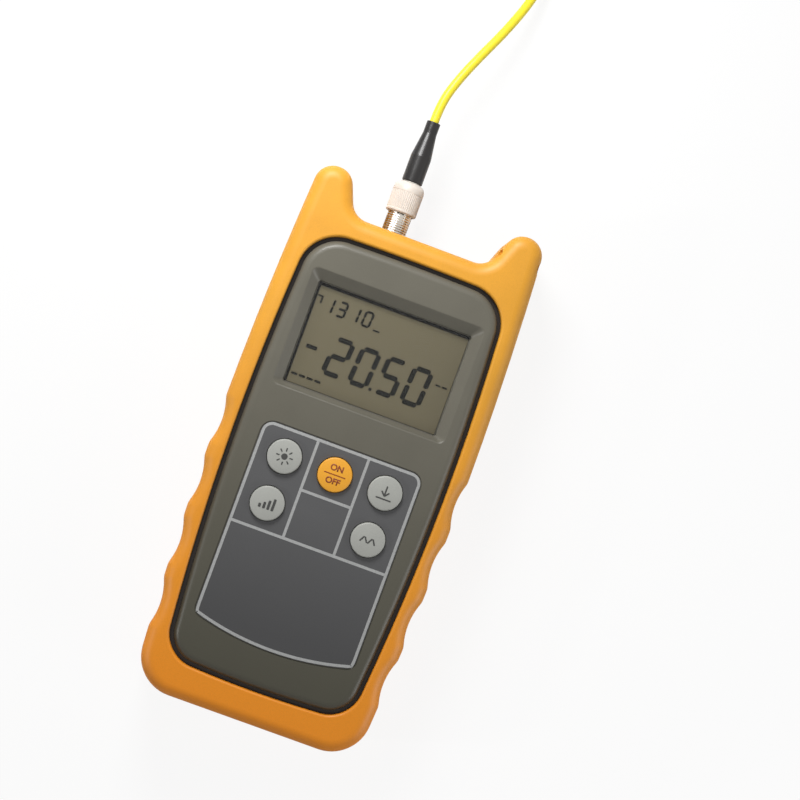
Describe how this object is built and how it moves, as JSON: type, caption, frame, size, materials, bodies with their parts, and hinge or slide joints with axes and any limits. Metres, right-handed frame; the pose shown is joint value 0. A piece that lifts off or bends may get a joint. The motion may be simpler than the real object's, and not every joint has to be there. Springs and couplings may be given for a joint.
{
  "type": "handheld optical power meter",
  "caption": "Handheld optical power meter in a rubber boot with guard horns, a display, round keys and a fibre lead plugged in.",
  "frame": {"origin": "under the middle of the boot, on the surface it lies on", "axes": "+Z out of the front panel, +Y towards the connector end, +X to the right of someone reading the display"},
  "size_m": [0.136, 0.3186, 0.0331],
  "materials": {
    "boot_rubber": "soft satin",
    "case_plastic": "fine matt",
    "clear_window": "clear",
    "display_glass": "smooth",
    "white_plastic": "smooth",
    "label_film": "fine matt",
    "key_grey": "satin",
    "key_orange": "satin",
    "grey_rubber": "soft",
    "board": "satin",
    "cell_wrap": "gloss wrap",
    "nickel": "bright nickel plating",
    "screw_steel": "turned",
    "spring_steel": "plated strip",
    "panel_plastic": "fine matt",
    "zirconia": "polished",
    "nut_plated": "pale satin plating",
    "relief_rubber": "soft",
    "lead_jacket": "smooth",
    "tie_band": "hook and loop",
    "cap_plastic": "satin"
  },
  "bodies": {
    "meter": {"rubber_boot": "boot_rubber", "front_case": "case_plastic", "rear_case": "case_plastic", "battery_cell_1": "cell_wrap", "battery_cell_2": "cell_wrap", "battery_cell_3": "cell_wrap", "leaf_contacts": "spring_steel", "end_plates": "spring_steel", "display_window": "clear_window", "display_glass": "display_glass", "light_guide": "white_plastic", "display_frame": "panel_plastic", "zebra_strip_low": "grey_rubber", "zebra_strip_high": "grey_rubber", "keypad_label": "label_film", "keypad_mat": "grey_rubber", "main_board": "board", "detector_board": "board", "board_screws": "screw_steel", "case_screws": "screw_steel", "end_panel": "panel_plastic", "fc_adapter": "nickel", "flange_screws": "screw_steel", "alignment_sleeve": "zirconia", "photodiode": "nickel", "plug_core": "nickel", "plug_ferrule": "zirconia", "plug_strain_relief": "relief_rubber", "loose_core": "nickel", "loose_ferrule": "zirconia", "loose_strain_relief": "relief_rubber", "fibre_lead": "lead_jacket", "fibre_tail": "lead_jacket", "fibre_coil": "lead_jacket", "coil_tie": "tie_band"},
    "light_key": {"light_key": "key_grey"},
    "power_key": {"power_key": "key_orange"},
    "reference_key": {"reference_key": "key_grey"},
    "units_key": {"units_key": "key_grey"},
    "wavelength_key": {"wavelength_key": "key_grey"},
    "battery_door": {"battery_door": "case_plastic"},
    "plug_nut": {"plug_nut": "nut_plated"},
    "loose_nut": {"loose_nut": "nut_plated"},
    "loose_dust_cap": {"loose_dust_cap": "cap_plastic"}
  },
  "joints": [
    {"name": "light_key_press", "type": "slide", "parent": "meter", "child": "light_key", "axis": [0, 0, -1], "range_m": [0, 0.0009], "stiffness_N_per_m": 1200, "springref_m": -0.0003},
    {"name": "power_key_press", "type": "slide", "parent": "meter", "child": "power_key", "axis": [0, 0, -1], "range_m": [0, 0.0009], "stiffness_N_per_m": 1200, "springref_m": -0.0003},
    {"name": "reference_key_press", "type": "slide", "parent": "meter", "child": "reference_key", "axis": [0, 0, -1], "range_m": [0, 0.0009], "stiffness_N_per_m": 1200, "springref_m": -0.0003},
    {"name": "units_key_press", "type": "slide", "parent": "meter", "child": "units_key", "axis": [0, 0, -1], "range_m": [0, 0.0009], "stiffness_N_per_m": 1200, "springref_m": -0.0003},
    {"name": "wavelength_key_press", "type": "slide", "parent": "meter", "child": "wavelength_key", "axis": [0, 0, -1], "range_m": [0, 0.0009], "stiffness_N_per_m": 1200, "springref_m": -0.0003},
    {"name": "battery_door_tilt", "type": "hinge", "parent": "meter", "child": "battery_door", "pos_m": [0, -0.0736, 0.0044], "axis": [-1, 0, 0], "range_deg": [0, 95]},
    {"name": "plug_nut_turn", "type": "hinge", "parent": "meter", "child": "plug_nut", "pos_m": [-0.0088, 0.0865, 0.016], "axis": [0, 1, 0], "continuous": true},
    {"name": "loose_nut_turn", "type": "hinge", "parent": "meter", "child": "loose_nut", "pos_m": [0.0727, 0.226, 0.00515], "axis": [1, 0, 0], "continuous": true},
    {"name": "dust_cap_pull", "type": "slide", "parent": "meter", "child": "loose_dust_cap", "axis": [1, 0, 0], "range_m": [0, 0.012]}
  ]
}
